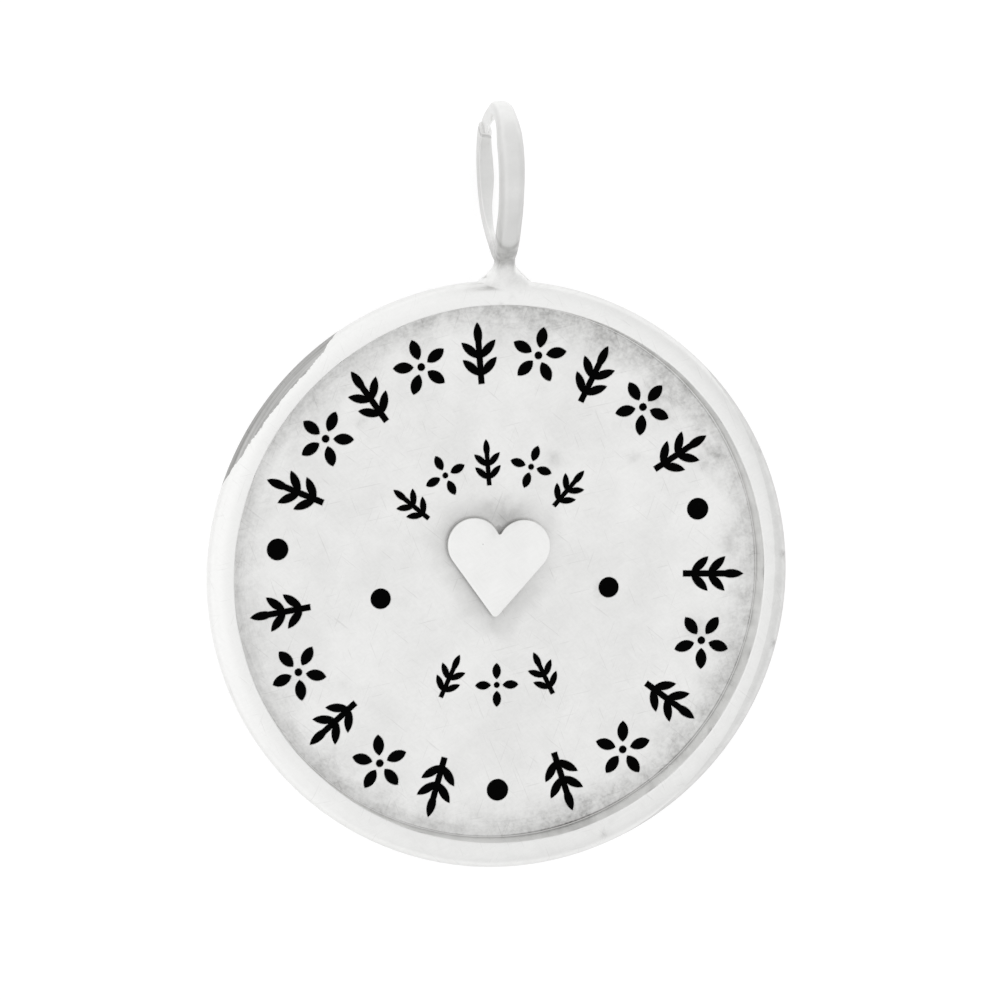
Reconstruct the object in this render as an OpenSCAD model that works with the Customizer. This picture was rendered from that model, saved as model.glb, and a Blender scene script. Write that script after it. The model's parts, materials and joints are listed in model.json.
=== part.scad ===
// Round silver charm that lies on its back: a disc with a raised rim, a raised heart, engraved
// ornament filled with black, and a round bail ring soldered upright on the disc's edge.
// Each shape is drawn flat first, with the disc's back face on z = 0, its centre on the z axis and
// the ring towards +Y. The lying() module then tips it onto the ring and the disc's lower edge.

/* [Disc] */
// Diameter of the disc
disc_d = 19; // [18.5:0.5:22]
// Thickness at the rim
disc_t = 1.5; // [1.45:0.05:1.8]
// Width of the rim, its flat top and its rounded shoulder together
rim_w = 0.8; // [0.6:0.05:1]
// Depth of the floor below the top of the rim
floor_depth = 0.7; // [0.5:0.05:0.75]
// Radius of the rim's front shoulder
shoulder_r = 0.5; // [0.35:0.05:0.5]
// Radius of the rounded edge at the back
back_edge_r = 0.9; // [0.5:0.05:0.9]

/* [Heart] */
// Width across both lobes
heart_w = 3.38; // [2.6:0.02:3.6]
// Height from the lobes' tops to the tip
heart_h = 3.18; // [2.8:0.02:3.6]
// Height above the floor
heart_relief = 0.28; // [0.15:0.01:0.4]

/* [Engraving] */
// Depth of the engraved recesses
engrave_depth = 0.25; // [0.1:0.05:0.3]
// How far the black filling stays below the floor
fill_low = 0.03; // [0.01:0.01:0.05]
// Gap between the filling and the silver round it
fill_gap = 0.015; // [0.01:0.005:0.02]
// Width of a sprig's stem as a share of its length
stem_share = 0.1; // [0.07:0.01:0.1]
// Length of the sprigs in the outer band
outer_sprig = 2; // [1.6:0.1:2.1]
// Length of the sprigs in the inner band
inner_sprig = 1.5; // [1.2:0.1:1.6]

/* [Bail ring] */
// Outer diameter of the ring
ring_d = 5.25; // [4.6:0.05:6]
// Thickness of the ring from its hole to its outside
ring_wall = 0.52; // [0.4:0.02:0.7]
// Width of the ring at the front
ring_front_w = 0.8; // [0.7:0.05:1]
// Width of the ring at the back
ring_back_w = 0.52; // [0.48:0.02:0.7]
// Angle by which the ring leans to the left
ring_lean = 5; // [0:1:6]
// Width of the solder neck under the ring
neck_w = 0.66; // [0.5:0.02:0.8]
// Width of the neck where it meets the disc
neck_foot_w = 1.42; // [1.2:0.02:1.6]
// Distance from the disc's edge to the ring
neck_gap = 0.52; // [0.4:0.02:0.8]

/* [Hidden] */
$fn = 96;
small = 0.001;

// Disc: the recess sits a little off the middle, as on a piece that is finished by hand
disc_r = disc_d / 2;
disc_mid = disc_t / 2;
shoulder_z = disc_t - shoulder_r;
floor_z = disc_t - floor_depth;
recess_top_r = disc_r - rim_w;
recess_wall_lean = 0.04;
recess_shift = [-0.075, 0.085];

// Heart: two round lobes, and straight sides that leave them as tangents and meet at the tip
lobe_share = 0.515;
lobe_r = lobe_share * heart_w / 2;
lobe_x = heart_w / 2 - lobe_r;
tip_y = heart_h - lobe_r;
tip_reach = norm([lobe_x, tip_y]);
tip_half_angle = atan2(lobe_x, tip_y) + asin(lobe_r / tip_reach);
side_length = sqrt(tip_reach * tip_reach - lobe_r * lobe_r);
heart_place = [0, 0.21];
heart_turn = -1.7;

// Engraving: bands of sprigs and blossoms with dots between them
leaf_angle = 45;
leaf_share = 0.4;
leaf_w_share = 0.35;
leaf_pair_shares = [0.13, 0.41];
stem_overlap_share = 0.28;
outer_band_r = 6.17;
outer_blossom_d = 1.86;
outer_petals = 5;
inner_band_r = 2.87;
inner_blossom_d = 1.42;
inner_petals = 4;
petal_start_share = 0.27;
petal_w_share = 0.53;
eye_share = 0.135;
// Arcs of the outer band. Columns: clockwise angles of the start and the end, number of motifs
arc_start = 0;
arc_end = 1;
arc_motifs = 2;
outer_arcs = [[-84.1, 72.1, 9], [72.1, 178, 5], [178, 275.9, 5]];
// Runs of the inner band. Columns: clockwise angle of the middle, step between motifs, number of
// motifs, and the turn that points their tops outwards or to the centre
run_middle = 0;
run_step = 1;
run_motifs = 2;
run_turn = 3;
inner_runs = [[354, 23, 5, 0], [178, 25, 3, 180]];
// Dots. Columns: distance from the centre, clockwise angle, diameter
dot_r = 0;
dot_angle = 1;
dot_d = 2;
dots = [
    [6.93, 72.1, 0.7], [7.23, 275.9, 0.7], [7.03, 178, 0.7],
    [3.75, 96.6, 0.66], [3.86, 257.5, 0.66]
];

// Bail ring: its lowest point is neck_gap above the disc, and it leans about that point
ring_r = ring_d / 2;
ring_hole_r = ring_r - ring_wall;
ring_corner_r = 0.2;
ring_foot_y = disc_r + neck_gap;
ring_y = ring_foot_y + ring_r * cos(ring_lean);
ring_z = disc_mid;

// Neck: it reaches into the disc and into the ring's wall
neck_root = 0.4;
neck_bite = 0.2;
neck_top_t = 0.6;
neck_foot_t = 1.1;

// Lying pose: the rounded back edge at the bottom and the ring's rear both touch z = 0
edge_y = back_edge_r - disc_r;
rest_span = norm([ring_y - edge_y, ring_z - back_edge_r]);
rest_slope = asin((ring_r - back_edge_r) / rest_span);
lie_angle = rest_slope - atan2(ring_z - back_edge_r, ring_y - edge_y);
low_y = (shoulder_r - disc_r) * cos(lie_angle) - shoulder_z * sin(lie_angle) - shoulder_r;
high_y = ring_y * cos(lie_angle) - ring_z * sin(lie_angle) + ring_r;
lift = back_edge_r - edge_y * sin(lie_angle) - back_edge_r * cos(lie_angle);
lying_shift = [0, -(low_y + high_y) / 2, lift];

module lying() {
    translate(lying_shift)
        rotate([lie_angle, 0, 0])
            children();
}

module quarter_disc(r) {
    intersection() {
        circle(r);
        square(r);
    }
}

// Half section of the disc: a rounded shoulder in front and a larger rounding at the back
module disc_section() {
    square([disc_r - back_edge_r, disc_t]);
    translate([0, back_edge_r]) {
        square([disc_r - shoulder_r, disc_t - back_edge_r]);
        square([disc_r, shoulder_z - back_edge_r]);
    }
    translate([disc_r - shoulder_r, shoulder_z])
        quarter_disc(shoulder_r);
    translate([disc_r - back_edge_r, back_edge_r])
        mirror([0, 1])
            quarter_disc(back_edge_r);
}

module disc() {
    rotate_extrude()
        disc_section();
}

// The hollow inside the rim: a slightly flaring wall down to the flat floor
module recess() {
    translate([recess_shift.x, recess_shift.y, floor_z])
        cylinder(
            h = 2 * floor_depth,
            r1 = recess_top_r - recess_wall_lean,
            r2 = recess_top_r + recess_wall_lean
        );
}

module heart_outline() {
    side_x = side_length * sin(tip_half_angle);
    side_y = side_length * cos(tip_half_angle) - tip_y;
    translate([0, (heart_h - 2 * lobe_r) / 2]) {
        for (side = [-1, 1])
            translate([side * lobe_x, 0])
                circle(lobe_r);
        polygon([[0, -tip_y], [side_x, side_y], [lobe_x, 0], [-lobe_x, 0], [-side_x, side_y]]);
    }
}

module heart() {
    translate([heart_place.x, heart_place.y, floor_z - small])
        rotate(heart_turn)
            linear_extrude(heart_relief + small)
                heart_outline();
}

// A leaf along +Y from the origin: the overlap of two circles, drawn inset by gap all round
module leaf(length, width, gap) {
    leaf_r = (length * length + width * width) / (4 * width);
    intersection() {
        translate([leaf_r - width / 2, length / 2])
            circle(leaf_r - gap);
        translate([width / 2 - leaf_r, length / 2])
            circle(leaf_r - gap);
    }
}

// A stem with two pairs of leaves and one leaf at its end
module sprig(length, gap) {
    leaf_length = leaf_share * length;
    leaf_w = leaf_w_share * leaf_length;
    stem_w = stem_share * length;
    stem_length = length - (1 - stem_overlap_share) * leaf_length;
    translate([gap - stem_w / 2, gap])
        square([stem_w - 2 * gap, stem_length - gap]);
    translate([0, length - leaf_length])
        leaf(leaf_length, leaf_w, gap);
    for (share = leaf_pair_shares, side = [-1, 1])
        translate([0, share * length])
            rotate(side * leaf_angle)
                leaf(leaf_length, leaf_w, gap);
}

// Petals round a small eye, centred on the origin
module blossom(diameter, petals, gap) {
    petal_start = diameter * petal_start_share / 2;
    petal_length = diameter / 2 - petal_start;
    circle(diameter * eye_share / 2 - gap);
    for (petal = [0 : petals - 1])
        rotate(petal * 360 / petals)
            translate([0, petal_start])
                leaf(petal_length, petal_length * petal_w_share, gap);
}

// Sprigs at the even places of a band and blossoms at the odd ones, centred on the origin
module motif(place, sprig_length, blossom_d, petals, gap) {
    if (place % 2 == 0)
        translate([0, -sprig_length / 2])
            sprig(sprig_length, gap);
    else
        blossom(blossom_d, petals, gap);
}

module outer_band(gap) {
    for (arc = outer_arcs, place = [0 : arc[arc_motifs] - 1]) {
        step = (arc[arc_end] - arc[arc_start]) / (arc[arc_motifs] + 1);
        rotate(-arc[arc_start] - step * (place + 1))
            translate([0, outer_band_r + outer_sprig / 2])
                motif(place, outer_sprig, outer_blossom_d, outer_petals, gap);
    }
}

module inner_band(gap) {
    for (run = inner_runs, place = [0 : run[run_motifs] - 1]) {
        from_middle = place - (run[run_motifs] - 1) / 2;
        rotate(-run[run_middle] - run[run_step] * from_middle)
            translate([0, inner_band_r + inner_sprig / 2])
                rotate(run[run_turn])
                    motif(place, inner_sprig, inner_blossom_d, inner_petals, gap);
    }
}

module dot_places(gap) {
    for (dot = dots)
        rotate(-dot[dot_angle])
            translate([0, dot[dot_r]])
                circle(dot[dot_d] / 2 - gap);
}

// Everything that is cut into the floor
module engraving() {
    translate([0, 0, floor_z - engrave_depth])
        linear_extrude(engrave_depth + small) {
            outer_band(0);
            inner_band(0);
            dot_places(0);
        }
}

// Black filling of one set of recesses, inset and a little below the floor
module inlay() {
    translate([0, 0, floor_z - engrave_depth + fill_gap])
        linear_extrude(engrave_depth - fill_gap - fill_low)
            children();
}

// Section of the ring's wire: flat towards the hole, with round corners outside
module wire_section() {
    half_w = ring_front_w / 2;
    translate([ring_hole_r, -half_w])
        square([ring_wall - ring_corner_r, ring_front_w]);
    translate([ring_hole_r, ring_corner_r - half_w])
        square([ring_wall, ring_front_w - 2 * ring_corner_r]);
    for (side = [-1, 1])
        translate([ring_r - ring_corner_r, side * (half_w - ring_corner_r)])
            circle(ring_corner_r);
}

// The taper that narrows the ring towards the back, seen along the disc from the ring's end
module ring_taper() {
    front = ring_front_w / 2;
    back = ring_back_w / 2;
    reach = ring_r + small;
    rotate([90, 0, 0])
        linear_extrude(2 * reach, center = true)
            polygon([[-back, -reach], [back, -reach], [front, reach], [-front, reach]]);
}

module ring() {
    translate([0, ring_foot_y, ring_z])
        rotate(ring_lean)
            translate([0, ring_r, 0])
                intersection() {
                    rotate([0, 90, 0])
                        rotate_extrude()
                            wire_section();
                    ring_taper();
                }
}

// Outline with hollow flanks, from the foot on the disc up to the narrow top under the ring
module neck_outline(top_w, foot_w) {
    rise = neck_gap + neck_bite / 2;
    run = (foot_w - top_w) / 2;
    flank_r = (run * run + rise * rise) / (2 * run);
    difference() {
        translate([-foot_w / 2, disc_r - neck_root])
            square([foot_w, neck_root + rise + neck_bite / 2]);
        for (side = [-1, 1])
            translate([side * (top_w / 2 + flank_r), disc_r + rise])
                circle(flank_r);
    }
}

module neck() {
    translate([0, 0, disc_mid])
        intersection() {
            linear_extrude(neck_foot_t, center = true)
                neck_outline(neck_w, neck_foot_w);
            rotate([0, 90, 0])
                linear_extrude(neck_foot_w, center = true)
                    neck_outline(neck_top_t, neck_foot_t);
        }
}

module silver_body() {
    color("silver")
        lying() {
            difference() {
                disc();
                recess();
                engraving();
            }
            heart();
            neck();
            ring();
        }
}

module outer_inlay() {
    color("black")
        lying()
            inlay()
                outer_band(fill_gap);
}

module inner_inlay() {
    color("black")
        lying()
            inlay()
                inner_band(fill_gap);
}

module dot_inlay() {
    color("black")
        lying()
            inlay()
                dot_places(fill_gap);
}

silver_body();
outer_inlay();
inner_inlay();
dot_inlay();
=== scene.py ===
import json
import math

import bmesh
import bpy
from mathutils import Matrix, Vector, noise


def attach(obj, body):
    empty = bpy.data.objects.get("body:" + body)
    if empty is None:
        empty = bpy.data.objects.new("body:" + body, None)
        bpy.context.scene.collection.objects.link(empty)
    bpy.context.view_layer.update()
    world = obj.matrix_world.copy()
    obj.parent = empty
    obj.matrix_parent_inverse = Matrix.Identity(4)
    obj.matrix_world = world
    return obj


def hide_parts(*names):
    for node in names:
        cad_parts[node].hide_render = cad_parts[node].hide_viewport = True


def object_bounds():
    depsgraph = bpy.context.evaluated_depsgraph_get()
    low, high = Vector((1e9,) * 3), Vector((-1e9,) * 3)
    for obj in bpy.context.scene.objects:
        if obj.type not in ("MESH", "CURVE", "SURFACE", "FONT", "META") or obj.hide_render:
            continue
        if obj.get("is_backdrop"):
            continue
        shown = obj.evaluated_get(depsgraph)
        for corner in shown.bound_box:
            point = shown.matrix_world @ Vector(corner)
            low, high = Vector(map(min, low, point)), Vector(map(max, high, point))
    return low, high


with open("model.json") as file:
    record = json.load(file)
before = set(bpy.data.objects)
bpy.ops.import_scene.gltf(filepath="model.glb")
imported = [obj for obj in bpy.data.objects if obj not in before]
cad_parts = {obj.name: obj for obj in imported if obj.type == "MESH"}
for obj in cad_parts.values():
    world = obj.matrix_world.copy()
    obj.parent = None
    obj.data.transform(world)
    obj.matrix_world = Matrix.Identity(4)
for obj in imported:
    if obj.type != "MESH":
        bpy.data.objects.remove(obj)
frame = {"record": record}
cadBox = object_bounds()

# A silver disc charm that lies on its back and leans on its bail ring. Each piece is drawn in
# millimetres in the charm's own frame (the disc's back face on z = 0, the ring towards +y) and
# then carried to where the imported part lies.
mm = 0.001
mounts = {mount["name"]: mount for mount in frame["record"]["mounts"]}
print("stage 1: frame loaded, box in mm:", [[round(v / mm, 2) for v in c] for c in cadBox])


def charmFrame():
    # the flat back face is the charm's xy plane
    back = mounts["back"]
    z = -Vector(back["axis"]).normalized()
    x = Vector((1, 0, 0))
    turn = Matrix((x, z.cross(x), z)).transposed().to_4x4()
    return Matrix.Translation(back["pos_m"]) @ turn @ Matrix.Scale(mm, 4)


toFrame = charmFrame()
toCharm = toFrame.inverted()


def bearing(degrees):
    # unit vector in the charm's plane at a clockwise angle from the ring
    angle = math.radians(degrees)
    return Vector((math.sin(angle), math.cos(angle), 0))


# camera: a long lens, a little off the disc's normal, as the photo was taken
shot = {
    "pixelsPerMm": 31.05,
    "frameSide": 1000,             # pixels
    "discCentre": (497.2, 574.1),  # pixels, of the point on the disc's axis at the height below
    "height": 0.95,                # mm above the back face
    "tilt": 13.4,                  # degrees between the disc's normal and the line of sight
    "tiltAway": 118,               # clockwise angle of the side that is further from the camera
    "roll": 0.95,                  # degrees that the charm is turned clockwise in the picture
    "lens": 600,                   # mm, on a sensor of the width below
    "sensor": 36,
}


def makeCamera():
    tilt = math.radians(shot["tilt"])
    away = bearing(shot["tiltAway"])
    across = Vector((-away.y, away.x, 0))
    up = Vector((0, 0, 1))
    slanted = away * math.cos(tilt) + up * math.sin(tilt)
    right = away.x * slanted + across.x * across
    top = away.y * slanted + across.y * across
    back = right.cross(top)
    unroll = Matrix.Rotation(math.radians(shot["roll"]), 3, "Z")
    turn = toFrame.to_3x3().normalized() @ unroll
    right, top, back = (turn @ axis for axis in (right, top, back))
    scale = mm / shot["pixelsPerMm"]
    middle = shot["frameSide"] / 2
    target = toFrame @ Vector((0, 0, shot["height"]))
    target += right * (middle - shot["discCentre"][0]) * scale
    target += top * (shot["discCentre"][1] - middle) * scale
    distance = shot["frameSide"] * scale / shot["sensor"] * shot["lens"]
    data = bpy.data.cameras.new("camera")
    data.lens = shot["lens"]
    data.sensor_width = shot["sensor"]
    data.clip_start = 0.01
    data.clip_end = 20
    camera = bpy.data.objects.new("camera", data)
    bpy.context.scene.collection.objects.link(camera)
    camera.matrix_world = Matrix.Translation(target + back * distance) @ Matrix(
        (right, top, back)
    ).transposed().to_4x4()
    bpy.context.scene.camera = camera


makeCamera()
bpy.context.scene.view_settings.view_transform = "Standard"
print("stage 2: camera placed")


# small helpers that the materials, the trees and the meshes share
def hexColour(code):
    # sRGB hex to the linear colour that a shader takes
    parts = [int(code[i : i + 2], 16) / 255 for i in (1, 3, 5)]
    line = [c / 12.92 if c <= 0.04045 else ((c + 0.055) / 1.055) ** 2.4 for c in parts]
    return (*line, 1.0)


def addNode(tree, kind, settings=None, inputs=None):
    # a node with its settings; each input is a value, a socket to link from, or a node whose
    # first output is linked
    node = tree.nodes.new(kind)
    for name, value in (settings or {}).items():
        setattr(node, name, value)
    for name, value in (inputs or {}).items():
        socket = node.inputs[name]
        if isinstance(value, bpy.types.Node):
            value = value.outputs[0]
        if isinstance(value, bpy.types.NodeSocket):
            tree.links.new(value, socket)
        else:
            socket.default_value = value
    return node


def linkObject(name, mesh):
    piece = bpy.data.objects.new(name, mesh)
    bpy.context.scene.collection.objects.link(piece)
    return piece


def bakeModifiers(piece, name=None):
    # the evaluated piece as a plain mesh; its modifiers are gone after that
    bpy.context.view_layer.update()
    graph = bpy.context.evaluated_depsgraph_get()
    mesh = bpy.data.meshes.new_from_object(piece.evaluated_get(graph))
    piece.modifiers.clear()
    piece.data = mesh
    if name:
        piece.name = name
        mesh.name = name
    return piece


def loftMesh(name, rows, looped=False):
    # rows of points, each a closed ring of the same count, skinned into one closed shell that has
    # end faces, or that runs back into its first row
    mesh = bmesh.new()
    rings = [[mesh.verts.new(point) for point in row] for row in rows]
    count = len(rings[0])
    for low, high in zip(rings, rings[1:] + rings[:1] if looped else rings[1:]):
        for i in range(count):
            j = (i + 1) % count
            mesh.faces.new((low[i], low[j], high[j], high[i]))
    if not looped:
        mesh.faces.new(list(reversed(rings[0])))
        mesh.faces.new(rings[-1])
    bmesh.ops.recalc_face_normals(mesh, faces=mesh.faces)
    data = bpy.data.meshes.new(name)
    mesh.to_mesh(data)
    mesh.free()
    return data


def arcPoints(centre, radius, start, end, steps):
    # points (r, z) on an arc, angles in degrees
    for i in range(steps + 1):
        angle = math.radians(start + (end - start) * i / steps)
        yield centre[0] + radius * math.cos(angle), centre[1] + radius * math.sin(angle)


# disc: rounded back edge, rounded front shoulder, raised rim round a sunk floor
disc = {
    "radius": 9.5,
    "thickness": 1.5,
    "backEdge": 0.9,       # radius of the rounded edge at the back
    "shoulder": 0.5,       # radius of the rim's front shoulder
    "rimWidth": 0.8,
    "crown": 0.018,        # how far the rim's top falls towards its inner edge
    "lip": 0.07,           # radius of the rim's inner edge
    "wallLean": 0.04,      # how far the wall of the recess flares over the floor's depth
    "corner": 0.09,        # radius between wall and floor
    "floor": 0.8,          # height of the floor above the back
    "shift": (-0.075, 0.085),  # the recess is a little off the middle, as cut by hand
    "lipShift": (0.06, -0.04),  # the rim's inner edge against the floor's outline
    "waver": 0.014,        # unevenness of the rim's inner edge
    # steps of its section's arcs and of its top, and round the disc
    "arcSteps": 14,
    "topSteps": 5,
    "lipSteps": 6,
    "cornerSteps": 5,
    "around": 384,
}


def discRows():
    # (radius, height, share of the recess's shift and waver) from the back's middle to the floor
    d = disc
    inner = d["radius"] - d["rimWidth"]
    lipTop = inner + d["lip"]
    flat = d["radius"] - d["shoulder"]
    back = (d["radius"] - d["backEdge"], d["backEdge"])
    front = (flat, d["thickness"] - d["shoulder"])
    rows = [(r, z, 0) for r, z in arcPoints(back, d["backEdge"], -90, 0, d["arcSteps"])]
    rows += [(r, z, 0) for r, z in arcPoints(front, d["shoulder"], 0, 90, d["arcSteps"])]
    for i in range(1, d["topSteps"] + 1):
        t = i / d["topSteps"]
        rows.append((flat + (lipTop - flat) * t, d["thickness"] - d["crown"] * t * t, t))
    lip = (lipTop, d["thickness"] - d["crown"] - d["lip"])
    rows += [(r, z, 1) for r, z in arcPoints(lip, d["lip"], 100, 180, d["lipSteps"])]
    # the corner below the wall is hollow, so its arc is mirrored
    corner = (inner - d["wallLean"] - d["corner"], d["floor"] + d["corner"])
    for r, z in arcPoints(corner, d["corner"], 180, 270, d["cornerSteps"]):
        rows.append((2 * corner[0] - r, z, 1))
    return rows


def discMesh():
    rows = []
    for radius, height, share in discRows():
        ring = []
        for i in range(disc["around"]):
            out = bearing(360 * i / disc["around"])
            # slow waves round the rim, and half as deep ones three times as often
            uneven = noise.noise(out * 2.1 + Vector((4, 7, 1))) + 0.5 * noise.noise(out * 6.3)
            r = radius + share * disc["waver"] * uneven
            shift = Vector((*disc["shift"], 0)) * share
            if height > disc["floor"] + disc["corner"]:
                shift += Vector((*disc["lipShift"], 0)) * share
            ring.append(out * r + shift + Vector((0, 0, height)))
        rows.append(ring)
    return loftMesh("disc", rows)


# heart: an upright outline whose top edge is rounded over
heart = {
    "width": 3.38,
    "height": 3.18,
    "relief": 0.28,
    "lobeShare": 0.515,
    "place": (0, 0.21),
    "turn": -1.7,          # degrees
    "edge": 0.07,          # radius of the rounded top edge
    "tip": 0.14,           # radius of the rounded tip
    "cleft": 0.05,         # radius of the rounded cleft
    "root": 0.1,           # how far it reaches into the floor
    # steps of the arcs
    "cleftSteps": 4,
    "lobeSteps": 40,
    "tipSteps": 10,
    "edgeSteps": 5,
}


def heartSizes():
    lobe = heart["lobeShare"] * heart["width"] / 2
    side = heart["width"] / 2 - lobe
    # the sides would meet a little below the rounded tip
    drop = heart["height"] - lobe + 0.6 * heart["tip"]
    half = math.atan2(side, drop) + math.asin(lobe / math.hypot(side, drop))
    return lobe, side, drop, half


def heartOutline():
    # from the rounded cleft over the right lobe to where the straight side leaves it, then the tip
    lobe, side, drop, half = heartSizes()
    apart = lobe + heart["cleft"]
    rise = math.sqrt(apart * apart - side * side)
    start = math.degrees(math.atan2(rise, -side))
    tangent = -math.degrees(half)
    right = list(arcPoints((0, rise), heart["cleft"], -90, start - 180, heart["cleftSteps"]))
    right += list(arcPoints((side, 0), lobe, start, tangent, heart["lobeSteps"]))[1:]
    # the tip's arc touches both straight sides
    tip = (0, heart["tip"] / math.sin(half) - drop)
    end = arcPoints(tip, heart["tip"], tangent, -180 - tangent, heart["tipSteps"])
    outline = right + list(end) + [(-x, y) for x, y in reversed(right[1:])]
    lift = (heart["height"] - 2 * lobe) / 2
    turn = Matrix.Rotation(math.radians(heart["turn"]), 3, "Z")
    place = Vector((*heart["place"], 0))
    return [turn @ Vector((x, y + lift, 0)) + place for x, y in outline]


def heartMesh():
    outline = heartOutline()
    base = Vector((0, 0, disc["floor"] - heart["root"]))
    top = Vector((0, 0, disc["floor"] + heart["relief"]))
    mesh = loftMesh("heart", [[p + base for p in outline], [p + top for p in outline]])
    weights = mesh.attributes.new("bevel_weight_edge", "FLOAT", "EDGE")
    for edge in mesh.edges:
        ends = [mesh.vertices[v].co.z for v in edge.vertices]
        weights.data[edge.index].value = float(min(ends) > disc["floor"])
    piece = linkObject("heart", mesh)
    bevel = piece.modifiers.new("edge", "BEVEL")
    bevel.limit_method = "WEIGHT"
    bevel.width = heart["edge"]
    bevel.segments = heart["edgeSteps"]
    return bakeModifiers(piece)


# bail ring: wire bent round by hand, so it strays a little to each side and its ends don't quite
# meet. Angles run from the ring's far end over the rear, then under the neck and up the front.
ring = {
    "hole": mounts["chain_ring"]["dims"]["r_mm"],
    "wall": 0.52,
    # angle from the ring's far end over the rear, how far the wire strays to the right there, and
    # half its width
    "bends": [
        (0, 0.17, 0.31), (22, 0.09, 0.17), (42, -0.03, 0.18), (90, 0.01, 0.25),
        (120, -0.08, 0.16), (150, -0.10, 0.11), (180, -0.05, 0.28), (222, -0.17, 0.37),
        (250, -0.14, 0.38), (310, 0.05, 0.41), (335, 0.13, 0.34),
    ],
    "corner": (0.20, 0.26),  # radii of the outer corners at the rear and in front
    "worn": 0.08,          # what the chain has added to them at the far end
    "innerWorn": 0.08,     # and what it has worn away there inside the ring
    "innerCorner": 0.06,
    "cornerShare": 0.35,   # the most that a corner takes of the wire's width
    "cornerSteps": 8,
    "innerSteps": 4,
    "taperStart": -5,      # the wire's end tapers from this angle
    "joint": 46,           # to where it meets the rear limb
    "step": 0.11,          # how much narrower it is there on the left
    "taper": 0.10,         # and on the right
    "seam": 50,            # the solder seam that slants across the wire
    "seamSlant": 5,        # degrees over the wire's width
    "seamDepth": 0.03,
    "seamHalf": 0.035,     # half width of the seam
}


def ringFrame():
    # x along the hole, y towards the ring's far end, z out of the disc's face
    centre = toCharm @ Vector(mounts["chain_ring"]["pos_m"])
    x = (toCharm.to_3x3() @ Vector(mounts["chain_ring"]["axis"])).normalized()
    z = Vector((0, 0, 1))
    z = (z - x * z.dot(x)).normalized()
    turn = Matrix((x, z.cross(x), z)).transposed().to_4x4()
    return Matrix.Translation(centre) @ turn


def ringBend(angle):
    # stray and half width on a smooth curve through the listed places
    rows = ring["bends"]
    count = len(rows)
    k = max(i for i in range(count) if rows[i][0] <= angle % 360)
    near = [rows[(k + i) % count] for i in (-1, 0, 1, 2)]
    t = (angle % 360 - near[1][0]) / ((near[2][0] - near[1][0]) % 360)
    return [
        0.5 * (
            2 * b + (c - a) * t + (2 * a - 5 * b + 4 * c - d) * t * t
            + (3 * b - a - 3 * c + d) * t**3
        )
        for a, b, c, d in list(zip(*near))[1:]
    ]


def ringSection(angle):
    # (along the hole, out from the hole's axis)
    front = 0.5 - 0.5 * math.sin(math.radians(angle))
    far = max(0.0, math.cos(math.radians(angle)))
    corner = ring["corner"][0] + (ring["corner"][1] - ring["corner"][0]) * front
    corner += ring["worn"] * far**4
    stray, half = ringBend(angle)
    left, right = stray - half, stray + half
    if ring["taperStart"] < angle < ring["joint"]:
        t = (angle - ring["taperStart"]) / (ring["joint"] - ring["taperStart"])
        share = t * t * (3 - 2 * t)
        left += ring["step"] * share
        right -= ring["taper"] * share
    corner = min(corner, ring["cornerShare"] * (right - left))
    small = min(ring["innerCorner"], ring["cornerShare"] * (right - left))
    outer = ring["hole"] + ring["wall"]
    inner = ring["hole"] + ring["innerWorn"] * far**6
    points = []
    for centre, radius, start, steps in (
        ((right - corner, outer - corner), corner, 0, ring["cornerSteps"]),
        ((left + corner, outer - corner), corner, 90, ring["cornerSteps"]),
        ((left + small, inner + small), small, 180, ring["innerSteps"]),
        ((right - small, inner + small), small, 270, ring["innerSteps"]),
    ):
        points += arcPoints(centre, radius, start, start + 90, steps)
    return points


def ringAngles():
    # closer rows round the joint and the seam, and the joint's own step
    near = [angle / 2 for angle in range(70, 136)]
    far = [angle for angle in range(-180, 180, 2) if not 35 <= angle < 68]
    step = [ring["joint"] - 0.02]
    return sorted(near + far + step)


def ringMesh():
    rows = []
    middle = ring["hole"] + ring["wall"] / 2
    for angle in ringAngles():
        turn = math.radians(angle)
        row = []
        for along, out in ringSection(angle):
            fromSeam = angle - ring["seam"] - ring["seamSlant"] * along / ring["wall"]
            reach = math.radians(fromSeam) * middle / ring["seamHalf"]
            pinch = ring["seamDepth"] * math.exp(-reach * reach)
            outward = Vector((along, out - middle))
            outward *= 1 - pinch / outward.length
            y = (outward.y + middle) * math.cos(turn)
            z = -(outward.y + middle) * math.sin(turn)
            row.append(ringFrame() @ Vector((outward.x, y, z)))
        rows.append(row)
    return loftMesh("ring", rows, looped=True)


# neck: solder that flows from the disc's edge up to the ring
neck = {
    "topHalf": (0.33, 0.30),   # half sizes under the ring, across and towards the rear
    "topFront": 1.10,          # and towards the front, up along the ring's underside
    "frontShift": -0.15,       # how far its front edge strays there, with the ring's wire
    "footHalf": 0.90,          # half width where it runs out on the disc's edge
    "flareOut": 0.26,          # how far its hollow flanks stray sideways and up from a curve
    "flareUp": 0.45,           # that would leave the disc along its surface
    "footFront": 0.71,         # how far it runs onto the rim's shoulder, from its middle
    "footRear": 0.52,
    "underReach": 1.1,         # the most that its front curve follows the ring's underside
    "least": 0.12,             # the least height of its curve
    "bite": 0.22,              # how far it reaches into the ring's wall
    "overlap": 0.01,           # how far its outline starts inside the ring and the disc
    "root": 0.3,               # how far its root lies inside the disc
    "rootShare": 0.6,          # size of the root against the foot
    "middle": 0.75,            # height of its middle above the back
    "square": 2.6,             # 2 is an ellipse, more is a rounded square
    "around": 96,
    "rows": 20,
}


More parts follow.
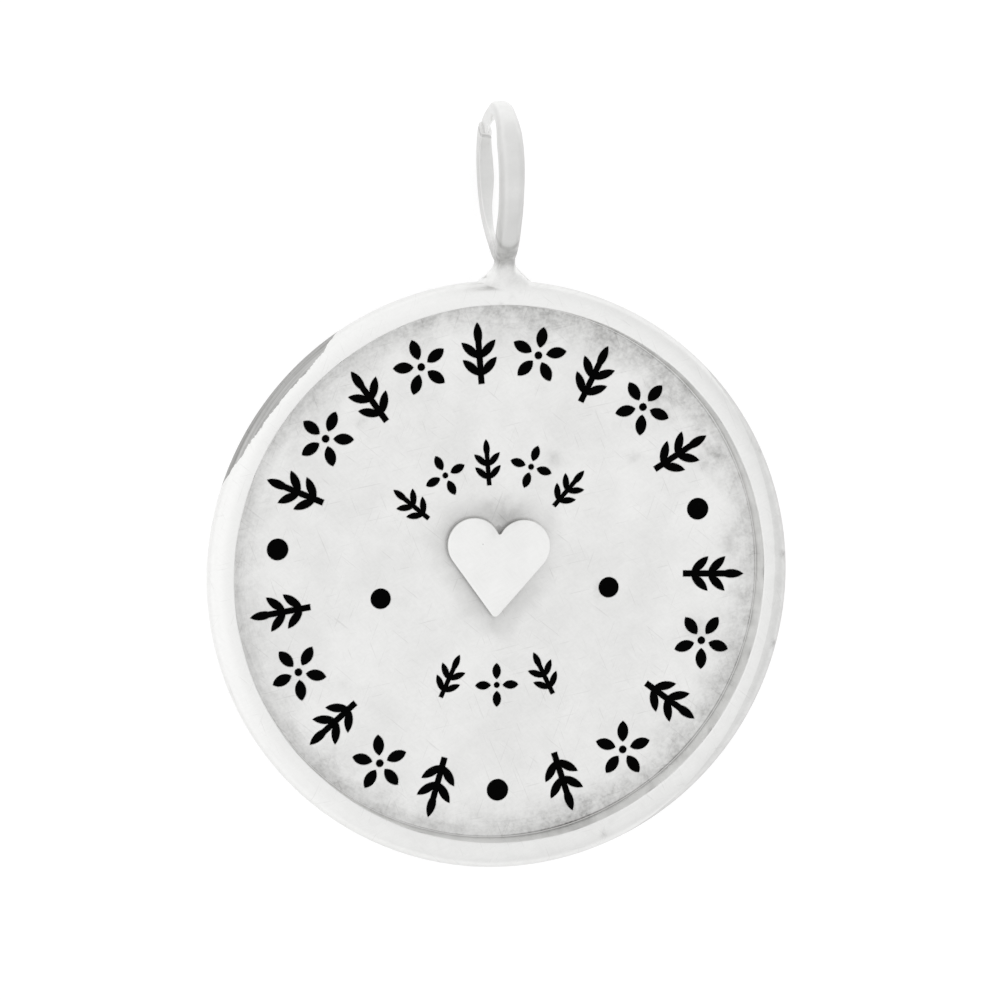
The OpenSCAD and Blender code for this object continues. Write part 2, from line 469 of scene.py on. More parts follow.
def edgeRadius(z):
    # radius of the disc's outside at a height, and the slope of its normal there
    back, shoulder = disc["backEdge"], disc["shoulder"]
    if z < back:
        rise, bend = z - back, back
    else:
        rise, bend = max(0.0, z - disc["thickness"] + shoulder), shoulder
    out = math.sqrt(bend * bend - rise * rise)
    return disc["radius"] - bend + out, rise / out


def footPoint(x, z):
    # the point of the disc's outside above x at height z, and the normal there
    radius, slope = edgeRadius(z)
    y = math.sqrt(radius * radius - x * x)
    return Vector((x, y, z)), Vector((x / radius, y / radius, slope)).normalized()


def ringUnderside(x, z):
    # the point of the ring's outside above the disc at height z, and the way to the ring's middle
    centre = toCharm @ Vector(mounts["chain_ring"]["pos_m"])
    outer = ring["hole"] + ring["wall"]
    rise = math.sqrt(outer * outer - (z - centre.z) ** 2)
    return Vector((x, centre.y - rise, z)), Vector((0, rise, centre.z - z)) / outer


def neckMesh():
    n = neck
    columns = []
    for i in range(n["around"]):
        angle = 2 * math.pi * i / n["around"]
        c, s = math.cos(angle), math.sin(angle)
        reach = (abs(c) ** n["square"] + abs(s) ** n["square"]) ** (-1 / n["square"])
        c, s = c * reach, s * reach
        rise = n["footFront"] if s > 0 else n["footRear"]
        foot, normal = footPoint(c * n["footHalf"], n["middle"] + s * rise)
        depth = n["topFront"] if s > 0 else n["topHalf"][1]
        top, inward = ringUnderside(c * n["topHalf"][0], n["middle"] + s * depth)
        top += inward * n["overlap"]
        top.x += n["frontShift"] * max(0.0, s)
        # the curve leaves the foot along the disc's surface and ends straight up
        flank = c * c
        bend = top.lerp(foot, n["flareOut"] * flank)
        drop = ((bend.x - foot.x) * normal.x + (bend.z - foot.z) * normal.z) / normal.y
        low = min(foot.y - drop, top.y - n["least"])
        bend.y = low + (top.y - low) * n["flareUp"] * flank
        # or in front along the ring's underside
        under = Vector((0, inward.z, -inward.y))
        if s > 0:
            down = min(n["underReach"], (foot - top).dot(normal) / under.dot(normal))
            bend = bend.lerp(top + under * down, s**3)
        column = [top + inward * n["bite"]]
        for k in range(n["rows"] + 1):
            t = k / n["rows"]
            column.append(top * (1 - t) ** 2 + bend * 2 * t * (1 - t) + foot * t * t)
        column[-1] -= normal * n["overlap"]
        sunk = foot + Vector((0, -n["root"], 0))
        sunk.x *= n["rootShare"]
        sunk.z = n["middle"] + (sunk.z - n["middle"]) * n["rootShare"]
        column.append(sunk)
        columns.append(column)
    return loftMesh("neck", list(zip(*columns)))


# engraving: leaves, stems, petals, eyes and dots, each a small solid with sloping sides
engraving = {
    "depth": 0.25,
    "lip": 0.02,           # width of the softened edge round each recess
    "gap": 0.015,          # between the silver and the filling
    "low": 0.03,           # how far the filling stays below the floor
    "soft": 0.02,          # rounding of the filling's edge
    "leafSteps": 9,
    "eyeSteps": 20,
    "dotSteps": 48,
}
sprig = {
    "leafShare": 0.4,      # leaf length as a share of the sprig's
    "leafWidthShare": 0.35,
    "leafAngle": 45,       # degrees
    "lowPair": 0.13,       # where the pairs of leaves leave the stem, as shares
    "highPair": 0.41,
    "overlap": 0.006,      # mm that the leaves of a pair run into each other, inside the stem
    "stemShare": 0.1,      # stem width
    "stemOverlap": 0.28,   # how far the stem runs into the end leaf, as a share of the leaf
}
blossom = {
    "petalStart": 0.27,    # as a share of the blossom's diameter
    "petalWidth": 0.53,    # as a share of the petal's length
    "eye": 0.135,          # as a share of the diameter
}


def cutterLevels():
    # (height, inset) of a recess's cutter: straight walls that flare at the floor's edge
    top = disc["floor"]
    lip = engraving["lip"]
    return [(top - engraving["depth"], 0), (top - lip, 0), (top + lip, -2 * lip)]


def fillLevels():
    # (height, inset) of the black filling: a softened top edge a little below the floor
    gap, soft = engraving["gap"], engraving["soft"]
    top = disc["floor"] - engraving["low"]
    low = disc["floor"] - engraving["depth"] + gap
    return [(low, gap), (top - soft, gap), (top - 0.3 * soft, gap + 0.3 * soft), (top, gap + soft)]


def leafOutline(length, width, inset):
    # the overlap of two circles, inset all round, from its foot at the origin along +y
    bend = (length * length + width * width) / (4 * width)
    radius = bend - inset
    reach = bend - width / 2
    half = math.degrees(math.acos(reach / radius))
    steps = engraving["leafSteps"]
    right = list(arcPoints((-reach, length / 2), radius, -half, half, steps))
    left = list(arcPoints((reach, length / 2), radius, 180 - half, 180 + half, steps))
    return right[:-1] + left[:-1]


def stemOutline(length, width, inset):
    x = width / 2 - inset
    return [(x, inset), (x, length), (-x, length), (-x, inset)]


def roundOutline(diameter, steps, inset):
    return list(arcPoints((0, 0), diameter / 2 - inset, 0, 360, steps))[:-1]


def solidObject(name, outline, levels):
    # outline is a function of the inset
    rows = [[(x, y, z) for x, y in outline(inset)] for z, inset in levels]
    return linkObject(name, loftMesh(name, rows))


def groupInputs(tree, names):
    # the tree's named inputs, listed by their kind
    sockets = tree.interface
    for kind in names:
        for name in names[kind]:
            sockets.new_socket(name=name, in_out="INPUT", socket_type="NodeSocket" + kind)
    sockets.new_socket(name="Geometry", in_out="OUTPUT", socket_type="NodeSocketGeometry")
    return tree.nodes.new("NodeGroupInput").outputs


def runTree(name, tree, values):
    # a mesh made by a node tree from its named inputs
    piece = linkObject(name, bpy.data.meshes.new(name))
    modifier = piece.modifiers.new(name, "NODES")
    modifier.node_group = tree
    for socket in tree.interface.items_tree:
        if socket.in_out == "INPUT" and socket.name in values:
            modifier[socket.identifier] = values[socket.name]
    return bakeModifiers(piece, name)


def closeTree(tree, geometry, material):
    # plain faces with a material, as the last nodes of every tree
    real = addNode(tree, "GeometryNodeRealizeInstances", None, {"Geometry": geometry})
    finish = addNode(tree, "GeometryNodeSetMaterial", None, {
        "Geometry": real, "Material": material,
    })
    output = tree.nodes.new("NodeGroupOutput")
    tree.links.new(finish.outputs["Geometry"], output.inputs["Geometry"])


def circlePoints(tree, count, radius, angle):
    # points on a circle, each carried round from +y by its own angle, and that turn
    turn = addNode(tree, "FunctionNodeEulerToRotation", None, {
        "Euler": addNode(tree, "ShaderNodeCombineXYZ", None, {"Z": angle}),
    })
    outward = addNode(tree, "ShaderNodeCombineXYZ", None, {"Y": radius})
    points = addNode(tree, "GeometryNodePoints", None, {
        "Count": count,
        "Position": addNode(tree, "FunctionNodeRotateVector", None, {
            "Vector": outward, "Rotation": turn,
        }),
    })
    return points, turn


def sprigTree():
    # a stem, two pairs of leaves that lean out from it, and a leaf at its end
    tree = bpy.data.node_groups.new("laurelSprig", "GeometryNodeTree")
    given = groupInputs(tree, {
        "Object": ["Leaf", "Stem"],
        "Float": [
            "Sprig Length", "Leaf Length", "Leaf Angle", "Low Pair", "High Pair", "Overlap",
        ],
        "Material": ["Material"],
    })
    index = addNode(tree, "GeometryNodeInputIndex")
    # points 0 and 1 are the lower pair, 2 and 3 the upper one, each left and right
    halved = addNode(tree, "ShaderNodeMath", {"operation": "DIVIDE"}, {0: index, 1: 2.0})
    pair = addNode(tree, "ShaderNodeMath", {"operation": "FLOOR"}, {0: halved})
    parity = addNode(tree, "ShaderNodeMath", {"operation": "MODULO"}, {0: index, 1: 2.0})
    side = addNode(tree, "ShaderNodeMath", {"operation": "MULTIPLY_ADD"}, {
        0: parity, 1: 2.0, 2: -1.0,
    })
    share = addNode(tree, "ShaderNodeMix", {"data_type": "FLOAT"}, {
        "Factor": pair, "A": given["Low Pair"], "B": given["High Pair"],
    })
    along = addNode(tree, "ShaderNodeMath", {"operation": "MULTIPLY"}, {
        0: share, 1: given["Sprig Length"],
    })
    across = addNode(tree, "ShaderNodeMath", {"operation": "MULTIPLY"}, {
        0: side, 1: given["Overlap"],
    })
    places = addNode(tree, "GeometryNodePoints", None, {
        "Count": 4,
        "Position": addNode(tree, "ShaderNodeCombineXYZ", None, {"X": across, "Y": along}),
    })
    lean = addNode(tree, "ShaderNodeMath", {"operation": "MULTIPLY"}, {
        0: side, 1: given["Leaf Angle"],
    })
    turn = addNode(tree, "FunctionNodeEulerToRotation", None, {
        "Euler": addNode(tree, "ShaderNodeCombineXYZ", None, {"Z": lean}),
    })
    leaf, stem = (
        addNode(tree, "GeometryNodeObjectInfo", None, {"Object": given[name]}).outputs["Geometry"]
        for name in ("Leaf", "Stem")
    )
    leaves = addNode(tree, "GeometryNodeInstanceOnPoints", None, {
        "Points": places, "Instance": leaf, "Rotation": turn,
    })
    endPlace = addNode(tree, "ShaderNodeMath", {"operation": "SUBTRACT"}, {
        0: given["Sprig Length"], 1: given["Leaf Length"],
    })
    endLeaf = addNode(tree, "GeometryNodeTransform", None, {
        "Geometry": leaf,
        "Translation": addNode(tree, "ShaderNodeCombineXYZ", None, {"Y": endPlace}),
    })
    merged = addNode(tree, "GeometryNodeMeshBoolean", {"operation": "UNION", "solver": "EXACT"}, {
        "Self Intersection": True,
    })
    for part in (leaves, endLeaf, stem):
        real = addNode(tree, "GeometryNodeRealizeInstances", None, {"Geometry": part})
        tree.links.new(real.outputs["Geometry"], merged.inputs["Mesh 2"])
    closeTree(tree, merged, given["Material"])
    return tree


def blossomTree():
    # petals round an eye
    tree = bpy.data.node_groups.new("blossom", "GeometryNodeTree")
    given = groupInputs(tree, {
        "Object": ["Petal", "Eye"],
        "Int": ["Petals"],
        "Float": ["Petal Start"],
        "Material": ["Material"],
    })
    index = addNode(tree, "GeometryNodeInputIndex")
    step = addNode(tree, "ShaderNodeMath", {"operation": "DIVIDE"}, {
        0: 2 * math.pi, 1: given["Petals"],
    })
    angle = addNode(tree, "ShaderNodeMath", {"operation": "MULTIPLY"}, {0: index, 1: step})
    places, turn = circlePoints(tree, given["Petals"], given["Petal Start"], angle)
    petal, eye = (
        addNode(tree, "GeometryNodeObjectInfo", None, {"Object": given[name]}).outputs["Geometry"]
        for name in ("Petal", "Eye")
    )
    petals = addNode(tree, "GeometryNodeInstanceOnPoints", None, {
        "Points": places, "Instance": petal, "Rotation": turn,
    })
    join = addNode(tree, "GeometryNodeJoinGeometry")
    for part in (petals.outputs[0], eye):
        tree.links.new(part, join.inputs[0])
    closeTree(tree, join, given["Material"])
    return tree


def bandTree():
    # sprigs and blossoms in turn along an arc, clockwise from a first angle
    tree = bpy.data.node_groups.new("motifBand", "GeometryNodeTree")
    given = groupInputs(tree, {
        "Object": ["Sprig", "Blossom"],
        "Int": ["Motifs"],
        "Float": ["Band Radius", "First Angle", "Step Angle", "Motif Turn"],
        "Material": ["Material"],
    })
    index = addNode(tree, "GeometryNodeInputIndex")
    angle = addNode(tree, "ShaderNodeMath", {"operation": "MULTIPLY_ADD"}, {
        0: index, 1: given["Step Angle"], 2: given["First Angle"],
    })
    minus = addNode(tree, "ShaderNodeMath", {"operation": "MULTIPLY"}, {0: angle, 1: -1.0})
    places = circlePoints(tree, given["Motifs"], given["Band Radius"], minus)[0]
    turned = addNode(tree, "ShaderNodeMath", {"operation": "ADD"}, {
        0: minus, 1: given["Motif Turn"],
    })
    facing = addNode(tree, "FunctionNodeEulerToRotation", None, {
        "Euler": addNode(tree, "ShaderNodeCombineXYZ", None, {"Z": turned}),
    })
    both = addNode(tree, "GeometryNodeJoinGeometry")
    for name in ("Blossom", "Sprig"):
        motif = addNode(tree, "GeometryNodeObjectInfo", None, {"Object": given[name]})
        single = addNode(tree, "GeometryNodeGeometryToInstance", None, {
            "Geometry": motif.outputs["Geometry"],
        })
        tree.links.new(single.outputs[0], both.inputs[0])
    which = addNode(tree, "ShaderNodeMath", {"operation": "MODULO"}, {0: index, 1: 2.0})
    motifs = addNode(tree, "GeometryNodeInstanceOnPoints", None, {
        "Points": places, "Instance": both, "Pick Instance": True,
        "Instance Index": which, "Rotation": facing,
    })
    closeTree(tree, motifs, given["Material"])
    return tree


# bands: arcs of motifs between the dots, angles in degrees clockwise from the ring
outerBand = {
    "radius": 6.17,        # where the sprigs start
    "sprig": 2.0,          # sprig length
    "blossom": 1.86,       # blossom diameter
    "petals": 5,
    "arcs": [(-84.1, 72.1, 9), (72.1, 178, 5), (178, 275.9, 5)],  # start, end, motifs
}
innerBand = {
    "radius": 2.87,
    "sprig": 1.5,
    "blossom": 1.42,
    "petals": 4,
    "runs": [(354, 23, 5, 0), (178, 25, 3, 180)],  # middle, step, motifs, turn
}
dots = [  # distance from the centre, clockwise angle, diameter
    (6.93, 72.1, 0.70), (7.23, 275.9, 0.70), (7.03, 178, 0.70),
    (3.75, 96.6, 0.66), (3.86, 257.5, 0.66),
]


def bandRuns(band):
    # (first angle, step, motifs, turn) of each arc
    if "arcs" in band:
        for start, end, motifs in band["arcs"]:
            step = (end - start) / (motifs + 1)
            yield start + step, step, motifs, 0
    else:
        for middle, step, motifs, turn in band["runs"]:
            yield middle - step * (motifs - 1) / 2, step, motifs, turn


def joinPieces(name, pieces):
    mesh = bmesh.new()
    for piece in pieces:
        mesh.from_mesh(piece.data)
    data = bpy.data.meshes.new(name)
    mesh.to_mesh(data)
    mesh.free()
    for piece in pieces:
        bpy.data.objects.remove(piece)
    return linkObject(name, data)


def motifPieces(band, levels, material):
    # one sprig and one blossom, both centred on the origin
    length = band["sprig"]
    leaf = sprig["leafShare"] * length
    stem = length - (1 - sprig["stemOverlap"]) * leaf
    leafPiece = solidObject(
        "leaf", lambda inset: leafOutline(leaf, sprig["leafWidthShare"] * leaf, inset), levels
    )
    stemPiece = solidObject(
        "stem", lambda inset: stemOutline(stem, sprig["stemShare"] * length, inset), levels
    )
    sprigPiece = runTree("sprig", sprigTree(), {
        "Leaf": leafPiece,
        "Stem": stemPiece,
        "Sprig Length": length,
        "Leaf Length": leaf,
        "Leaf Angle": math.radians(sprig["leafAngle"]),
        "Low Pair": sprig["lowPair"],
        "High Pair": sprig["highPair"],
        "Overlap": sprig["overlap"],
        "Material": material,
    })
    sprigPiece.data.transform(Matrix.Translation((0, -length / 2, 0)))
    start = band["blossom"] * blossom["petalStart"] / 2
    petal = band["blossom"] / 2 - start
    eye = band["blossom"] * blossom["eye"]
    petalPiece = solidObject(
        "petal", lambda inset: leafOutline(petal, blossom["petalWidth"] * petal, inset), levels
    )
    eyePiece = solidObject(
        "eye", lambda inset: roundOutline(eye, engraving["eyeSteps"], inset), levels
    )
    blossomPiece = runTree("blossom", blossomTree(), {
        "Petal": petalPiece,
        "Eye": eyePiece,
        "Petals": band["petals"],
        "Petal Start": start,
        "Material": material,
    })
    for piece in (leafPiece, stemPiece, petalPiece, eyePiece):
        bpy.data.objects.remove(piece)
    return sprigPiece, blossomPiece


def bandPiece(name, band, levels, material):
    sprigPiece, blossomPiece = motifPieces(band, levels, material)
    tree = bandTree()
    runs = []
    for first, step, motifs, turn in bandRuns(band):
        runs.append(runTree("run", tree, {
            "Sprig": sprigPiece,
            "Blossom": blossomPiece,
            "Band Radius": band["radius"] + band["sprig"] / 2,
            "First Angle": math.radians(first),
            "Step Angle": math.radians(step),
            "Motifs": motifs,
            "Motif Turn": math.radians(turn),
            "Material": material,
        }))
    for piece in (sprigPiece, blossomPiece):
        bpy.data.objects.remove(piece)
    return joinPieces(name, runs)


def dotPiece(name, levels):
    solids = []
    for distance, angle, diameter in dots:
        solid = solidObject(
            "dot", lambda inset: roundOutline(diameter, engraving["dotSteps"], inset), levels
        )
        solid.data.transform(Matrix.Translation(bearing(angle) * distance))
        solids.append(solid)
    return joinPieces(name, solids)


# silver: sterling, cast and soldered, then filed and rubbed with a satin pad. The high places are
# bright and nearly white, and the floor is duller, with grey tarnish left in its corners.
# the tarnish colour below also paints shade on the rim, the walls, the sides and the ring, a shadow
# round the heart, and two dark reflections on the rim's shoulder
silverLook = {
    "bare": "#f7f7f6",
    "tarnishAndShade": "#6b6a68",
    "highRoughness": 0.3,
    "floorRoughness": 0.4,
    "tarnishAndShadeRoughness": 0.15,     # what the full grey of tarnish and painted shade adds
    "floorDull": 0.07,
    "sideShade": 0.10,             # painted shade on the disc's side
    "wallShade": 0.05,             # painted shade on the recess's wall
    "heartDull": 0.05,
    "haze": 0.018,                # all over except on the heart
    "grain": 0.024,               # on the floor
    "turned": 0.06,               # lines that run round the floor along its wall
    "scratch": 0.10,              # long thin marks
    "brush": 0.028,               # short satin strokes
    "heartBrush": 0.03,           # and those on the heart
    # tarnish and painted shade on the floor along its wall: clockwise angle, strength
    "wallTarnishAndShade": [
        (0, 0.21), (15, 0.22), (40, 0.22), (62, 0.17), (80, 0.14), (100, 0.16), (130, 0.16),
        (160, 0.22), (182, 0.11), (205, 0.14), (225, 0.14), (248, 0.09), (270, 0.09),
        (300, 0.12), (325, 0.13), (345, 0.17),
    ],
    "wallTarnishAndShadeStart": 7.25,      # mm from the recess's middle
    # painted shade on the floor within half a millimetre of the wall
    "edgeShade": [(0, 0.03), (40, 0.0), (90, 0.02), (180, 0.02), (225, 0.10), (300, 0.10)],
    # the dark line where the wall meets the floor
    "cornerLine": [
        (0, 0.06), (40, 0.18), (90, 0.33), (120, 0.35), (155, 0.40), (185, 0.28), (215, 0.12),
        (300, 0.06),
    ],
    # tarnish and painted shadow round the heart: clockwise angle about its middle, strength
    "heartTarnishAndShadow": [
        (0, 0.22), (28, 0.20), (60, 0.10), (95, 0.08), (125, 0.18), (155, 0.25), (180, 0.23),
        (205, 0.28), (235, 0.25), (270, 0.17), (310, 0.17), (340, 0.23),
    ],
    "heartTarnishAndShadowReach": 0.95,    # mm
    # tarnish and painted shade on the heart's sides
    "heartSide": 0.55,
    # patina and painted shade in a dark line at its foot
    "heartLine": [(0, 0.14), (40, 0.10), (80, 0.04), (180, 0.04), (215, 0.08), (270, 0.12)],
    # painted shade on the rim, darker on its right and lower side: clockwise angle, strength
    "rimShade": [
        (0, 0.03), (30, 0.06), (60, 0.09), (90, 0.10), (120, 0.09), (160, 0.11), (195, 0.09),
        (225, 0.04), (260, 0.0), (300, 0.0), (335, 0.01),
    ],
    # a painted grey reflection on the rim's right shoulder, outside a circle that lies to its left, and
    # its tone at the top and at the side
    "rightGreyReflection": {"towards": 98, "offset": 1.07, "edge": 10.1, "inner": 0.10, "outer": 0.22},
    # a painted dark reflection on the rim's shoulder at the upper left: clockwise angle, height of its
    # ragged top edge
    "leftDarkReflection": [
        (282, 0.0), (286, 0.70), (290, 1.16), (294, 1.345), (301, 1.42), (308, 1.44),
        (315, 1.44), (320, 1.37), (323, 1.17), (326, 0.70), (330, 0.0),
    ],
    "leftReflectionStrength": 0.62,
    # tarnish and painted shade on the ring, lightest at its far end and darker on its rear and front:
    # angle from its far end over the rear, strength
    "ringTarnishAndShade": [
        (0, 0.07), (35, 0.03), (60, 0.16), (90, 0.21), (120, 0.15), (150, 0.07), (180, 0.18),
        (215, 0.24), (240, 0.28), (270, 0.25), (315, 0.19), (340, 0.11),
    ],
    # the wire's rounded front end, by its angle and its middle (mm along the hole): how much it
    # is bowed, the dark line round it, and the solder's tone below it
    "wireEnd": {"angle": -138.5, "middle": -0.2, "bow": 48, "line": 0.12, "solder": 0.02},
    # stains: distance from the charm's middle, clockwise angle, height, reach (mm), strength
    "stains": [
        # on the floor
        (7.70, 42, 0.8, 0.80, 0.15), (7.85, 61, 0.8, 0.70, 0.15), (7.80, 81, 0.8, 0.75, 0.14),
        (6.70, 317, 0.8, 0.35, 0.08), (4.15, 25, 0.8, 0.45, 0.11), (5.84, 50, 0.8, 0.45, 0.09),
        (4.20, 307, 0.8, 0.30, 0.07), (3.50, 99, 0.8, 0.45, 0.14), (6.10, 233, 0.8, 0.35, 0.07),
        (6.90, 105, 0.8, 0.60, 0.12), (8.00, 94, 0.8, 0.55, 0.10), (1.95, 3, 0.8, 1.00, 0.11),
        # on the rim's right shoulder
        (9.40, 64, 1.28, 0.30, 0.16), (9.36, 85.5, 1.35, 0.24, 0.32),
        (9.36, 103.5, 1.35, 0.27, 0.28),
        # on the rim, at its foot and below the neck
        (9.10, 156.5, 1.49, 0.20, 0.10), (8.85, 154, 1.48, 0.15, 0.08),
        (9.04, 0.5, 1.5, 0.24, 0.08), (9.22, 2.5, 1.5, 0.14, 0.14),
        (8.80, 358.5, 1.48, 0.14, 0.12),
        # at both ends of the neck's foot, and on the solder under the ring
        (9.60, 356.2, 0.98, 0.18, 0.50), (9.60, 4.4, 0.98, 0.18, 0.45),
        (10.37, 359.3, 2.06, 0.20, 0.22),
        # and a paler patch on the ring's front, where the chain has rubbed it
        (12.65, 359.1, 3.37, 0.55, -0.07),
        # on the heart
        (1.11, 332, 1.08, 0.025, 0.40),
    ],
}


def mapCharm(tree):
    # the piece's own coordinates in millimetres, in the charm's frame
    place, turn, scale = toFrame.decompose()
    coords = addNode(tree, "ShaderNodeTexCoord").outputs["Object"]
    return addNode(tree, "ShaderNodeMapping", {"vector_type": "TEXTURE"}, {
        "Vector": coords, "Location": place, "Rotation": turn.to_euler(), "Scale": scale,
    })


def roundProfile(tree, flat, stops, low=0.0, high=1.0):
    # a value that changes with the clockwise angle of a flat vector; the ramp holds 0 to 1, which
    # stand for low and high
    parts = addNode(tree, "ShaderNodeSeparateXYZ", None, {0: flat}).outputs
    angle = addNode(tree, "ShaderNodeMath", {"operation": "ARCTAN2"}, {
        0: parts["X"], 1: parts["Y"],
    })
    turns = addNode(tree, "ShaderNodeMath", {"operation": "DIVIDE"}, {0: angle, 1: 2 * math.pi})
    share = addNode(tree, "ShaderNodeMath", {"operation": "FRACT"}, {0: turns})
    ramp = addNode(tree, "ShaderNodeValToRGB", None, {"Fac": share})
    ramp.color_ramp.interpolation = "EASE"
    marks = [(degrees / 360, value) for degrees, value in stops]
    if stops[0][0] == 0:
        marks.append((1.0, stops[0][1]))
    while len(ramp.color_ramp.elements) < len(marks):
        ramp.color_ramp.elements.new(1.0)
    for element, (position, value) in zip(ramp.color_ramp.elements, marks):
        element.position = position
        grey = (value - low) / (high - low)
        element.color = (grey, grey, grey, 1)
    return addNode(tree, "ShaderNodeMapRange", None, {
        "Value": ramp, "To Min": low, "To Max": high,
    })


def sumLayers(tree, layers):
    # the sum of layers, each the product of its masks
    total = 0.0
    for masks in layers:
        layer = masks[0]
        for mask in masks[1:]:
            layer = addNode(tree, "ShaderNodeMath", {"operation": "MULTIPLY"}, {0: layer, 1: mask})
        total = addNode(tree, "ShaderNodeMath", {"operation": "ADD"}, {0: total, 1: layer})
    return total


def heartDistance(tree, place):
    # distance in mm from the heart's outline, less than zero inside, and the place in its frame
    lobe, side, drop, half = heartSizes()
    lift = (heart["height"] - 2 * lobe) / 2
    turn = math.radians(heart["turn"])
    middle = Matrix.Rotation(turn, 3, "Z") @ Vector((0, lift, 0)) + Vector((*heart["place"], 0))
    own = addNode(tree, "ShaderNodeMapping", {"vector_type": "TEXTURE"}, {
        "Vector": place, "Location": middle, "Rotation": (0, 0, turn),
    })
    parts = addNode(tree, "ShaderNodeSeparateXYZ", None, {0: own}).outputs
    x = addNode(tree, "ShaderNodeMath", {"operation": "ABSOLUTE"}, {0: parts["X"]})
    upright = addNode(tree, "ShaderNodeCombineXYZ", None, {"X": x, "Y": parts["Y"]})
    toLobe = addNode(tree, "ShaderNodeVectorMath", {"operation": "DISTANCE"}, {
        0: upright, 1: (side, 0, 0),
    }).outputs["Value"]
    fromLobe = addNode(tree, "ShaderNodeMath", {"operation": "SUBTRACT"}, {0: toLobe, 1: lobe})
    fromTip = addNode(tree, "ShaderNodeVectorMath", {"operation": "ADD"}, {
        0: upright, 1: (0, drop, 0),
    })
    straight = addNode(tree, "ShaderNodeVectorMath", {"operation": "DOT_PRODUCT"}, {
        0: fromTip, 1: (math.cos(half), -math.sin(half), 0),
    }).outputs["Value"]
    along = addNode(tree, "ShaderNodeVectorMath", {"operation": "DOT_PRODUCT"}, {
        0: fromTip, 1: (math.sin(half), math.cos(half), 0),
    }).outputs["Value"]
    fromPoint = addNode(tree, "ShaderNodeVectorMath", {"operation": "LENGTH"}, {
        0: fromTip,
    }).outputs["Value"]
    # the tip's point below the straight side, and the lobe's circle above it
    belowTip = addNode(tree, "ShaderNodeMath", {"operation": "LESS_THAN"}, {0: along, 1: 0.0})
    lower = addNode(tree, "ShaderNodeMix", {"data_type": "FLOAT"}, {
        "Factor": belowTip, "A": straight, "B": fromPoint,
    })
    length = math.sqrt(side * side + drop * drop - lobe * lobe)
    beyond = addNode(tree, "ShaderNodeMath", {"operation": "GREATER_THAN"}, {0: along, 1: length})
    return addNode(tree, "ShaderNodeMix", {"data_type": "FLOAT"}, {
        "Factor": beyond, "A": lower, "B": fromLobe,
    }), own


def stainMasks(tree, place, smudges):
    # each stain fades out over its reach, and the smudges fray its edge
    fray = 0.8
    for distance, angle, height, reach, strength in silverLook["stains"]:
        middle = bearing(angle) * distance + Vector((0, 0, height))
        away = addNode(tree, "ShaderNodeVectorMath", {"operation": "DISTANCE"}, {
            0: place, 1: middle,
        }).outputs["Value"]
        uneven = addNode(tree, "ShaderNodeMath", {"operation": "MULTIPLY_ADD"}, {
            0: smudges, 1: -fray * reach, 2: away,
        })
        yield addNode(tree, "ShaderNodeMapRange", {"interpolation_type": "SMOOTHSTEP"}, {
            "Value": uneven, "From Min": (1 - fray / 2) * reach,
            "From Max": -(0.05 + fray / 2) * reach, "To Max": strength,
        })


